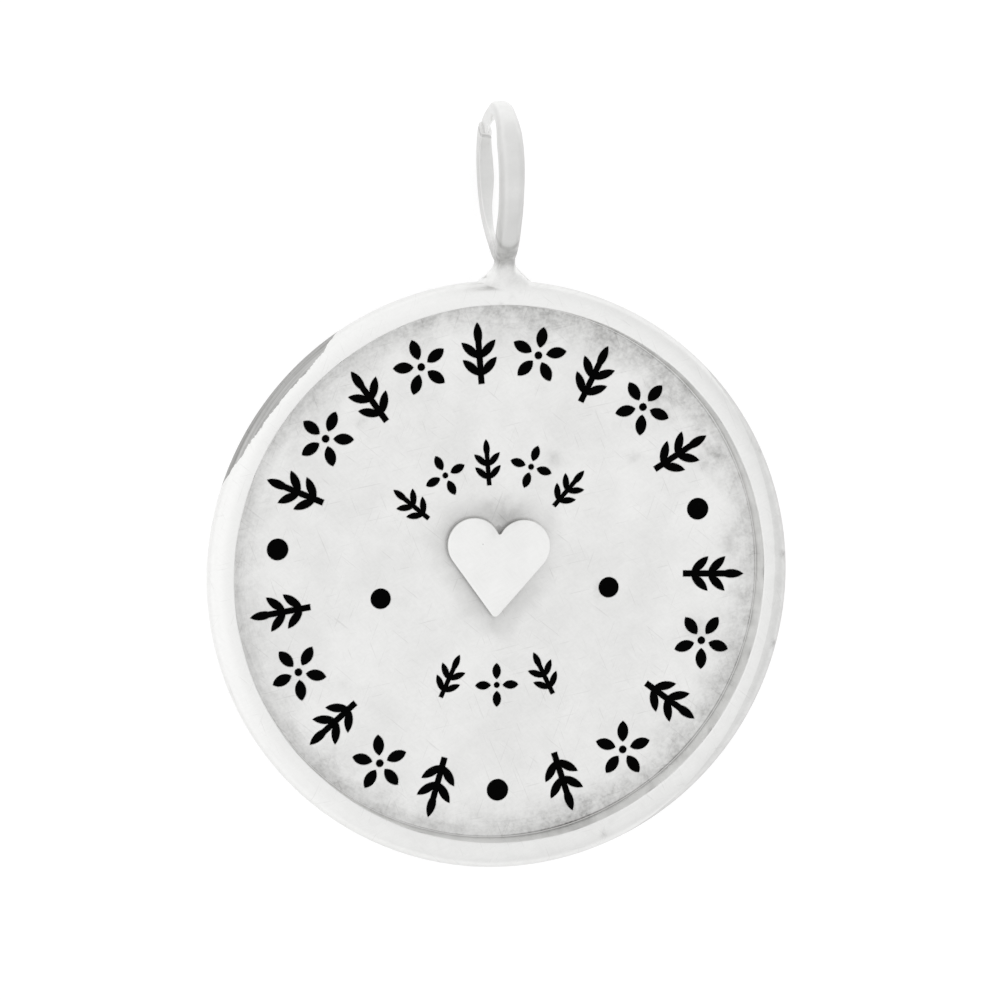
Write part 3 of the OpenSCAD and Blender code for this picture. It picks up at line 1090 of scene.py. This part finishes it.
def ringLayers(tree, place, patchy):
    # the ring's tarnish and painted shade by angle, painted shade on its sides, its solder seam, and
    # the solder over its foot
    where, turn = ringFrame().decompose()[:2]
    own = addNode(tree, "ShaderNodeMapping", {"vector_type": "TEXTURE"}, {
        "Vector": place, "Location": where, "Rotation": turn.to_euler(),
    })
    parts = addNode(tree, "ShaderNodeSeparateXYZ", None, {0: own}).outputs
    rear = addNode(tree, "ShaderNodeMath", {"operation": "MULTIPLY"}, {0: parts["Z"], 1: -1.0})
    inRing = addNode(tree, "ShaderNodeCombineXYZ", None, {"X": rear, "Y": parts["Y"]})
    turned = addNode(tree, "ShaderNodeMath", {"operation": "ARCTAN2"}, {0: rear, 1: parts["Y"]})
    angle = addNode(tree, "ShaderNodeMath", {"operation": "DEGREES"}, {0: turned})
    inFront = addNode(tree, "ShaderNodeMath", {"operation": "GREATER_THAN"}, {
        0: parts["Z"], 1: 0.0,
    })
    normal = addNode(tree, "ShaderNodeNewGeometry").outputs["Normal"]
    sideways = addNode(tree, "ShaderNodeVectorMath", {"operation": "DOT_PRODUCT"}, {
        0: normal, 1: (toFrame @ ringFrame()).to_3x3().normalized().col[0],
    }).outputs["Value"]
    # degrees from the seam, which slants across the wire
    pastSeam = addNode(tree, "ShaderNodeMath", {"operation": "SUBTRACT"}, {
        0: angle, 1: ring["seam"],
    })
    fromSeam = addNode(tree, "ShaderNodeMath", {"operation": "MULTIPLY_ADD"}, {
        0: parts["X"], 1: -ring["seamSlant"] / ring["wall"], 2: pastSeam,
    })
    # degrees from the bow in which the wire's rounded front end meets the solder below it
    end = silverLook["wireEnd"]
    aside = addNode(tree, "ShaderNodeMath", {"operation": "SUBTRACT"}, {
        0: parts["X"], 1: end["middle"],
    })
    bow = addNode(tree, "ShaderNodeMath", {"operation": "POWER"}, {0: aside, 1: 2.0})
    pastEnd = addNode(tree, "ShaderNodeMath", {"operation": "SUBTRACT"}, {
        0: angle, 1: end["angle"],
    })
    fromEnd = addNode(tree, "ShaderNodeMath", {"operation": "MULTIPLY_ADD"}, {
        0: bow, 1: -end["bow"], 2: pastEnd,
    })
    unsigned = {}
    for name, value in (("sideways", sideways), ("fromSeam", fromSeam), ("fromEnd", fromEnd)):
        unsigned[name] = addNode(tree, "ShaderNodeMath", {"operation": "ABSOLUTE"}, {0: value})
    # masks: value, where it starts, where it is full, and its strength there
    fromDisc = addNode(tree, "ShaderNodeSeparateXYZ", None, {0: place}).outputs["Y"]
    edge = disc["radius"]
    fade = {}
    for name, value, start, full, strength in (
        ("onNeck", fromDisc, edge - 0.35, edge - 0.05, 0.12),
        ("onWaist", fromDisc, edge + 0.15, edge + 0.55, 0.06),
        ("belowRing", fromDisc, edge + 1.4, edge + 0.9, 1.0),
        ("beyondDisc", fromDisc, edge + 0.35, edge + 0.75, 1.0),
        ("shadedSides", unsigned["sideways"], 0.4, 0.9, 0.15),
        ("seam", unsigned["fromSeam"], 2.6, 0.8, 0.2),
        ("crescent", unsigned["fromEnd"], 3.4, 0.8, end["line"]),
        ("solder", fromEnd, 0.0, -3.0, end["solder"]),
    ):
        fade[name] = addNode(tree, "ShaderNodeMapRange", {"interpolation_type": "SMOOTHSTEP"}, {
            "Value": value, "From Min": start, "From Max": full, "To Max": strength,
        })
    return [
        # tarnish and painted shade by the ring's angle
        (fade["beyondDisc"], roundProfile(tree, inRing, silverLook["ringTarnishAndShade"])),
        (fade["beyondDisc"], patchy, 0.02),
        (fade["onNeck"], fade["belowRing"], patchy),
        (fade["onWaist"], fade["belowRing"], patchy),
        # painted shade on the ring's sides
        (fade["beyondDisc"], fade["shadedSides"]),
        (fade["beyondDisc"], fade["seam"]),
        (fade["beyondDisc"], inFront, fade["crescent"]),
        (fade["beyondDisc"], inFront, fade["solder"], patchy),
    ]


def strokeLines(tree, place, smudges):
    # straight scratches in a few directions, about 1.3 mm long and 0.05 mm wide
    marks = 0.0
    for turn, width, seed in (
        (14, 0.048, 0.0), (-38, 0.055, 7.3), (71, 0.042, 3.1), (-67, 0.050, 5.7),
    ):
        lined = addNode(tree, "ShaderNodeMapping", {"vector_type": "TEXTURE"}, {
            "Vector": place, "Location": (seed, seed, 0), "Rotation": (0, 0, math.radians(turn)),
            "Scale": (1.3, width, 1.3),
        })
        grain = addNode(tree, "ShaderNodeTexNoise", None, {
            "Vector": lined, "Scale": 1.0, "Detail": 1.0, "Roughness": 0.5,
        })
        line = addNode(tree, "ShaderNodeMapRange", {"interpolation_type": "SMOOTHSTEP"}, {
            "Value": grain, "From Min": 0.70, "From Max": 0.78,
        })
        marks = addNode(tree, "ShaderNodeMath", {"operation": "MAXIMUM"}, {0: marks, 1: line})
    # short satin strokes, 0.5 by 0.07 mm, that change direction from place to place
    strokes = []
    for turn in (31, -47):
        lined = addNode(tree, "ShaderNodeMapping", {"vector_type": "TEXTURE"}, {
            "Vector": place, "Rotation": (0, 0, math.radians(turn)), "Scale": (0.5, 0.07, 0.5),
        })
        strokes.append(addNode(tree, "ShaderNodeTexNoise", None, {
            "Vector": lined, "Scale": 1.0, "Detail": 3.0, "Roughness": 0.65,
        }))
    whichWay = addNode(tree, "ShaderNodeMapRange", {"interpolation_type": "SMOOTHSTEP"}, {
        "Value": smudges, "From Min": 0.42, "From Max": 0.58,
    })
    satin = addNode(tree, "ShaderNodeMix", {"data_type": "FLOAT"}, {
        "Factor": whichWay, "A": strokes[0], "B": strokes[1],
    })
    return marks, satin


def sterlingSilver():
    look = silverLook
    material = bpy.data.materials.new("sterlingSilverSatin")
    material.use_nodes = True
    tree = material.node_tree
    shader = tree.nodes["Principled BSDF"]
    place = mapCharm(tree)
    parts = addNode(tree, "ShaderNodeSeparateXYZ", None, {0: place}).outputs
    height = parts["Z"]
    flat = addNode(tree, "ShaderNodeVectorMath", {"operation": "MULTIPLY"}, {
        0: place, 1: (1, 1, 0),
    })
    radius = addNode(tree, "ShaderNodeVectorMath", {"operation": "LENGTH"}, {
        0: flat,
    }).outputs["Value"]
    outward = addNode(tree, "ShaderNodeVectorMath", {"operation": "NORMALIZE"}, {0: flat})
    centred = addNode(tree, "ShaderNodeVectorMath", {"operation": "SUBTRACT"}, {
        0: flat, 1: (*disc["shift"], 0),
    })
    recessRadius = addNode(tree, "ShaderNodeVectorMath", {"operation": "LENGTH"}, {
        0: centred,
    }).outputs["Value"]
    floor, top, edge = disc["floor"], disc["thickness"], disc["radius"]
    inner = edge - disc["rimWidth"]
    reflectionEdge = look["rightGreyReflection"]

    # clouds about 1.5 mm wide, smudges of 0.4 mm and grains of 0.1 mm, as rubbing leaves them,
    # and frays of 0.2 mm
    texture = {}
    for name, scale, detail, rough in (
        ("clouds", 0.65, 3.0, 0.55),
        ("smudges", 2.4, 4.0, 0.65),
        ("grains", 9.0, 2.0, 0.6),
        ("frays", 5.0, 4.0, 0.75),
    ):
        texture[name] = addNode(tree, "ShaderNodeTexNoise", None, {
            "Vector": place, "Scale": scale, "Detail": detail, "Roughness": rough,
        })
    marks, satin = strokeLines(tree, place, texture["smudges"])
    # lines that run round the disc, 0.06 mm apart on its faces and 0.08 mm on its side, and
    # about 3 mm long
    linesUp = addNode(tree, "ShaderNodeMath", {"operation": "MULTIPLY"}, {0: height, 1: 12.0})
    linesOut = addNode(tree, "ShaderNodeMath", {"operation": "MULTIPLY"}, {
        0: recessRadius, 1: 16.0,
    })
    across = addNode(tree, "ShaderNodeCombineXYZ", None, {"Y": linesUp, "Z": linesOut})
    roundGrain = addNode(tree, "ShaderNodeTexNoise", None, {
        "Vector": addNode(tree, "ShaderNodeVectorMath", {"operation": "MULTIPLY_ADD"}, {
            0: outward, 1: (3, 3, 3), 2: across,
        }),
        "Scale": 1.0, "Detail": 3.0, "Roughness": 0.6,
    })
    # what the textures become: lowest and highest value read, and the masks' values there
    spread = {}
    for name, value, low, high, least, most in (
        ("cloudy", texture["clouds"], 0.35, 0.65, 0.45, 1.55),
        ("patchy", texture["smudges"], 0.36, 0.64, 0.45, 1.55),
        ("calm", texture["smudges"], 0.36, 0.64, 0.85, 1.15),
        ("grainy", texture["grains"], 0.35, 0.65, 0.72, 1.28),
        ("roundLines", roundGrain, 0.35, 0.65, 0.0, 1.0),
        # streaks in the painted dark reflection at the upper left
        ("reflectionStreaks", roundGrain, 0.32, 0.6, 0.65, 1.1),
        ("satinLines", satin, 0.4, 0.65, 0.0, 1.0),
        # the painted reflection on the right shoulder, paler at its top and darker down the side
        ("reflectionTone", height, top - 0.06, top - 0.35, reflectionEdge["inner"], reflectionEdge["outer"]),
    ):
        spread[name] = addNode(tree, "ShaderNodeMapRange", None, {
            "Value": value, "From Min": low, "From Max": high, "To Min": least, "To Max": most,
        })

    # zones: how a value is compared, with what, and for COMPARE how far from it at most
    zone = {}
    for name, operation, value, limit, reach in (
        ("inRecess", "LESS_THAN", recessRadius, inner + 0.02, 0),
        ("aboveCuts", "GREATER_THAN", height, floor - 0.015, 0),
        ("belowWalls", "LESS_THAN", height, floor + 0.015, 0),
        ("inCuts", "COMPARE", height, floor - 0.2, 0.17),
        ("onWall", "COMPARE", recessRadius, inner + 0.04, 0.14),
        ("frontHalf", "GREATER_THAN", height, top / 2, 0),
        ("onRim", "COMPARE", radius, (inner + edge) / 2, (edge - inner) / 2 + 0.02),
        ("outside", "COMPARE", radius, edge - 0.24, 0.26),
        ("onDisc", "LESS_THAN", radius, edge + 0.02, 0),
        ("aboveFloor", "GREATER_THAN", height, floor + 0.02, 0),
        ("midway", "LESS_THAN", radius, heart["height"], 0),
    ):
        zone[name] = addNode(tree, "ShaderNodeMath", {"operation": operation}, {
            0: value, 1: limit, 2: reach,
        })
    onFloor = sumLayers(tree, [(zone["inRecess"], zone["aboveCuts"], zone["belowWalls"])])
    onHeart = sumLayers(tree, [(zone["aboveFloor"], zone["midway"])])
    notHeart = addNode(tree, "ShaderNodeMath", {"operation": "SUBTRACT"}, {0: 1.0, 1: onHeart})

    # distances: from the recess's middle less the height, and from the heart's outline
    lessHeight = addNode(tree, "ShaderNodeMath", {"operation": "SUBTRACT"}, {
        0: recessRadius, 1: height,
    })
    cornerStart = inner - disc["wallLean"] - disc["corner"] - floor
    fromHeart, heartPlace = heartDistance(tree, place)
    # the painted reflection on the right lies outside a circle, and the dark one at the upper left
    # below a line
    facing = addNode(tree, "ShaderNodeVectorMath", {"operation": "DOT_PRODUCT"}, {
        0: outward, 1: bearing(reflectionEdge["towards"]),
    }).outputs["Value"]
    fromLeft = addNode(tree, "ShaderNodeMath", {"operation": "MULTIPLY_ADD"}, {
        0: facing, 1: reflectionEdge["offset"], 2: radius,
    })
    belowLine = addNode(tree, "ShaderNodeMath", {"operation": "SUBTRACT"}, {
        0: roundProfile(tree, flat, look["leftDarkReflection"], 0.0, 1.5), 1: height,
    })
    # the same distances, made uneven by a share of a texture
    wander, heartWander = 1.3, 0.6
    uneven = {}
    for name, grain, share, distance in (
        ("fromMiddle", texture["clouds"], wander, recessRadius),
        ("fromHeart", texture["clouds"], -heartWander, fromHeart),
        ("fromLeft", texture["smudges"], 0.05, fromLeft),
        ("belowLine", texture["frays"], 0.13, belowLine),
    ):
        uneven[name] = addNode(tree, "ShaderNodeMath", {"operation": "MULTIPLY_ADD"}, {
            0: grain, 1: share, 2: distance,
        })
    nearWall = look["wallTarnishAndShadeStart"] + wander / 2
    nearHeart = look["heartTarnishAndShadowReach"] - heartWander / 2
    reflectionStart = reflectionEdge["edge"] + 0.01
    # masks: value, where the mask starts and ends to change, and what it is before and after
    fade = {}
    for name, value, start, end, before, after in (
        ("nearWall", uneven["fromMiddle"], nearWall, inner + 0.6, 0, 1),
        ("atEdge", recessRadius, inner - 0.7, inner - 0.2, 0, 1),
        ("atCorner", lessHeight, cornerStart - 0.002, cornerStart + 0.03, 0, 1),
        ("lowWall", height, floor + 0.13, floor + 0.06, 0, 1),
        # painted shade on the recess's wall below the lip
        ("belowLip", height, top - 0.04, top - 0.14, 0, look["wallShade"]),
        ("nearHeart", uneven["fromHeart"], nearHeart, -0.42, 0, 1),
        # patina and painted shade at the heart's foot
        ("atFoot", fromHeart, 0.07, 0.02, 0, 1),
        # tarnish and painted shade on the heart's sides
        ("belowTop", height, floor + 0.25, floor + 0.17, 0, look["heartSide"]),
        ("onShoulder", radius, edge - 0.5, edge - 0.2, 1.0, 1.3),
        # the painted grey reflection on the right shoulder
        ("onRightReflection", uneven["fromLeft"], reflectionStart, reflectionStart + 0.03, 0, 1),
        # the painted dark reflection at the upper left of the shoulder
        ("onLeftReflection", uneven["belowLine"], 0.06, 0.08, 0, look["leftReflectionStrength"]),
        ("aboveBack", height, 0.2, 0.4, 0, 1),
        # painted shade on the disc's side
        ("lowSide", height, top - 0.08, top - 0.4, 0, look["sideShade"]),
        # the disc's own finish ends where the neck's foot runs onto the rim
        ("belowNeck", parts["Y"], edge - 0.05, edge - 0.35, 0, 1),
    ):
        fade[name] = addNode(tree, "ShaderNodeMapRange", {"interpolation_type": "SMOOTHSTEP"}, {
            "Value": value, "From Min": start, "From Max": end, "To Min": before, "To Max": after,
        })
    atCorner = (zone["inRecess"], zone["frontHalf"], fade["atCorner"], fade["lowWall"])
    onRim = (zone["onRim"], zone["frontHalf"], fade["onShoulder"], fade["belowNeck"])
    onSatin = (notHeart, zone["onDisc"], fade["belowNeck"])

    # the grey mixed into the silver: tarnish, stains and marks, with painted shade, painted shadow and
    # painted reflections
    tarnishAndShade = addNode(tree, "ShaderNodeMath", {"operation": "MINIMUM"}, {0: sumLayers(tree, [
        # on the floor and its wall: tarnish and patina, with painted shade
        (
            onFloor, fade["nearWall"], roundProfile(tree, centred, look["wallTarnishAndShade"]),
            spread["patchy"], spread["grainy"],
        ),
        (onFloor, fade["nearWall"], spread["roundLines"], look["turned"]),
        # painted shade on the floor near the wall
        (onFloor, fade["atEdge"], roundProfile(tree, centred, look["edgeShade"])),
        (*atCorner, roundProfile(tree, centred, look["cornerLine"])),
        # painted shade on the recess's wall
        (zone["onWall"], zone["frontHalf"], fade["belowLip"]),
        (zone["inRecess"], zone["inCuts"]),
        (onFloor, spread["cloudy"], look["floorDull"]),
        (onFloor, spread["grainy"], look["grain"]),
        # round the heart and on it: tarnish and painted shadow round it, patina and painted shade at
        # its foot and on its sides
        (onFloor, fade["nearHeart"], roundProfile(tree, heartPlace, look["heartTarnishAndShadow"])),
        (onFloor, fade["atFoot"], roundProfile(tree, heartPlace, look["heartLine"])),
        (onHeart, fade["belowTop"]),
        (onHeart, spread["cloudy"], look["heartDull"]),
        (onHeart, spread["satinLines"], look["heartBrush"]),
        # painted shade on the rim, painted reflections on its shoulder, and painted shade on the disc's
        # side
        (*onRim, roundProfile(tree, flat, look["rimShade"]), spread["calm"]),
        # painted grey reflection on the right shoulder
        (zone["outside"], fade["onRightReflection"], spread["reflectionTone"], spread["calm"]),
        # painted dark reflection on the upper left of the shoulder
        (zone["outside"], fade["onLeftReflection"], fade["aboveBack"], spread["reflectionStreaks"]),
        (zone["outside"], fade["lowSide"], fade["belowNeck"]),
        # everywhere but on the heart
        (notHeart, spread["calm"], spread["grainy"], look["haze"]),
        (*onSatin, marks, look["scratch"]),
        (*onSatin, spread["satinLines"], look["brush"]),
        *((stain, spread["patchy"]) for stain in stainMasks(tree, place, texture["smudges"])),
        *ringLayers(tree, place, spread["patchy"]),
    ]), 1: 1.0})
    colour = addNode(tree, "ShaderNodeMix", {"data_type": "RGBA"}, {
        "Factor": tarnishAndShade, 6: hexColour(look["bare"]), 7: hexColour(look["tarnishAndShade"]),
    }).outputs[2]
    tree.links.new(colour, shader.inputs["Base Color"])
    shader.inputs["Metallic"].default_value = 1.0
    cleanRoughness = addNode(tree, "ShaderNodeMapRange", None, {
        "Value": onFloor, "To Min": look["highRoughness"], "To Max": look["floorRoughness"],
    })
    roughness = addNode(tree, "ShaderNodeMath", {"operation": "MULTIPLY_ADD"}, {
        0: tarnishAndShade, 1: look["tarnishAndShadeRoughness"], 2: cleanRoughness,
    }).outputs[0]
    tree.links.new(roughness, shader.inputs["Roughness"])
    # relief: scratches and satin strokes a few thousandths of a millimetre deep
    relief = addNode(tree, "ShaderNodeMath", {"operation": "MULTIPLY_ADD"}, {
        0: marks, 1: -1.0, 2: satin,
    })
    bump = addNode(tree, "ShaderNodeBump", None, {
        "Height": relief, "Strength": 0.6, "Distance": 0.003 * mm,
    }).outputs[0]
    tree.links.new(bump, shader.inputs["Normal"])
    return material


# black filling: a cold enamel rubbed flush, matt and a little grainy
enamelLook = {
    "colour": "#020202",
    "worn": "#131313",
    "roughness": 0.7,
    "gloss": 0.02,
}


def blackEnamel():
    material = bpy.data.materials.new("blackEnamelMatt")
    material.use_nodes = True
    tree = material.node_tree
    shader = tree.nodes["Principled BSDF"]
    place = mapCharm(tree)
    # grains of about 0.1 mm
    grain = addNode(tree, "ShaderNodeTexNoise", None, {
        "Vector": place, "Scale": 9.0, "Detail": 4.0, "Roughness": 0.7,
    })
    worn = addNode(tree, "ShaderNodeMapRange", None, {
        "Value": grain, "From Min": 0.62, "From Max": 0.8,
    })
    colour = addNode(tree, "ShaderNodeMix", {"data_type": "RGBA"}, {
        "Factor": worn, 6: hexColour(enamelLook["colour"]), 7: hexColour(enamelLook["worn"]),
    }).outputs[2]
    tree.links.new(colour, shader.inputs["Base Color"])
    shader.inputs["Roughness"].default_value = enamelLook["roughness"]
    shader.inputs["Specular IOR Level"].default_value = enamelLook["gloss"]
    bump = addNode(tree, "ShaderNodeBump", None, {
        "Height": grain, "Strength": 0.5, "Distance": 0.005 * mm,
    }).outputs[0]
    tree.links.new(bump, shader.inputs["Normal"])
    return material


silver = sterlingSilver()
enamel = blackEnamel()


def booleanWith(piece, other, operation):
    modifier = piece.modifiers.new(operation.lower(), "BOOLEAN")
    modifier.operation = operation
    modifier.solver = "MANIFOLD"
    modifier.object = other
    bakeModifiers(piece)
    bpy.data.objects.remove(other)


def silverPiece():
    body = linkObject("silver_charm", discMesh())
    for band in (outerBand, innerBand):
        booleanWith(body, bandPiece("cutter", band, cutterLevels(), silver), "DIFFERENCE")
    booleanWith(body, dotPiece("cutter", cutterLevels()), "DIFFERENCE")
    print("  recesses cut:", len(body.data.polygons), "faces")
    booleanWith(body, heartMesh(), "UNION")
    booleanWith(body, linkObject("neck", neckMesh()), "UNION")
    booleanWith(body, linkObject("ring", ringMesh()), "UNION")
    print("  heart, neck and ring joined:", len(body.data.polygons), "faces")
    return body


def cleanMesh(mesh, dropSpare):
    # unions leave slivers without area, and the sprigs' also spare points on straight edges
    shell = bmesh.new()
    shell.from_mesh(mesh)
    bmesh.ops.remove_doubles(shell, verts=shell.verts, dist=1e-5)
    bmesh.ops.dissolve_degenerate(shell, edges=shell.edges, dist=0.0004)
    if dropSpare:
        spare = [vertex for vertex in shell.verts if len(vertex.link_edges) == 2]
        bmesh.ops.dissolve_verts(shell, verts=spare)
    shell.to_mesh(mesh)
    shell.free()


def finishPiece(piece, material, sharpAngle, dropSpare=False):
    # smooth shading with crisp edges kept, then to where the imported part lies
    mesh = piece.data
    cleanMesh(mesh, dropSpare)
    mesh.materials.clear()
    mesh.materials.append(material)
    mesh.shade_smooth()
    mesh.set_sharp_from_angle(angle=math.radians(sharpAngle))
    weighted = piece.modifiers.new("normals", "WEIGHTED_NORMAL")
    weighted.keep_sharp = True
    bakeModifiers(piece)
    piece.data.transform(toFrame)
    return piece


body = finishPiece(silverPiece(), silver, 35)
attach(body, "root")
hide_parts("silver_body")
print("stage 3: silver charm made")

inlays = [
    (bandPiece("outer_ornament", outerBand, fillLevels(), enamel), "outer_inlay"),
    (bandPiece("inner_ornament", innerBand, fillLevels(), enamel), "inner_inlay"),
    (dotPiece("dots", fillLevels()), "dot_inlay"),
]
for piece, node in inlays:
    finishPiece(piece, enamel, 50, dropSpare=True)
    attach(piece, "root")
    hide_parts(node)
print("stage 4: black fillings made")


# floor: a sheet of white acrylic on a light table, so that it is almost as bright as the sky
table = {
    "half": 2.0,           # metres
    "colour": "#a6a6a6",
    "roughness": 0.7,
    "gloss": 0.1,
    "glow": 0.70,
}


def makeFloor():
    half = table["half"]
    mesh = bpy.data.meshes.new("floor")
    mesh.from_pydata(
        [(-half, -half, 0), (half, -half, 0), (half, half, 0), (-half, half, 0)], [], [(0, 1, 2, 3)]
    )
    floor = linkObject("floor", mesh)
    material = bpy.data.materials.new("whiteAcrylicSheet")
    material.use_nodes = True
    shader = material.node_tree.nodes["Principled BSDF"]
    for name, value in (
        ("Base Color", hexColour(table["colour"])), ("Roughness", table["roughness"]),
        ("Specular IOR Level", table["gloss"]), ("Emission Color", (1, 1, 1, 1)),
        ("Emission Strength", table["glow"]),
    ):
        shader.inputs[name].default_value = value
    mesh.materials.append(material)
    floor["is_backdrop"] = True


# studio: a large tent of white cloth, a little brighter on the left and towards its foot
studio = {
    "overhead": 1.0,
    "foot": 0.97,
    "leftGain": 1.06,
    "rightGain": 0.92,
}


def makeLight():
    world = bpy.data.worlds.new("lightTent")
    bpy.context.scene.world = world
    world.use_nodes = True
    tree = world.node_tree
    towards = addNode(tree, "ShaderNodeTexCoord").outputs["Generated"]
    parts = addNode(tree, "ShaderNodeSeparateXYZ", None, {0: towards}).outputs
    height = addNode(tree, "ShaderNodeMapRange", {"interpolation_type": "SMOOTHSTEP"}, {
        "Value": parts["Z"], "From Min": 0.0, "From Max": 1.0,
        "To Min": studio["foot"], "To Max": studio["overhead"],
    })
    side = addNode(tree, "ShaderNodeMapRange", {"interpolation_type": "SMOOTHSTEP"}, {
        "Value": parts["X"], "From Min": -0.9, "From Max": 0.9,
        "To Min": studio["leftGain"], "To Max": studio["rightGain"],
    })
    strength = addNode(tree, "ShaderNodeMath", {"operation": "MULTIPLY"}, {
        0: height, 1: side,
    }).outputs[0]
    background = tree.nodes["Background"]
    background.inputs["Color"].default_value = (1, 1, 1, 1)
    tree.links.new(strength, background.inputs["Strength"])


makeFloor()
makeLight()
print("stage 5: floor and light set")

{name: [list(corner) for corner in box] for name, box in (("cad", cadBox), ("visual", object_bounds()))}
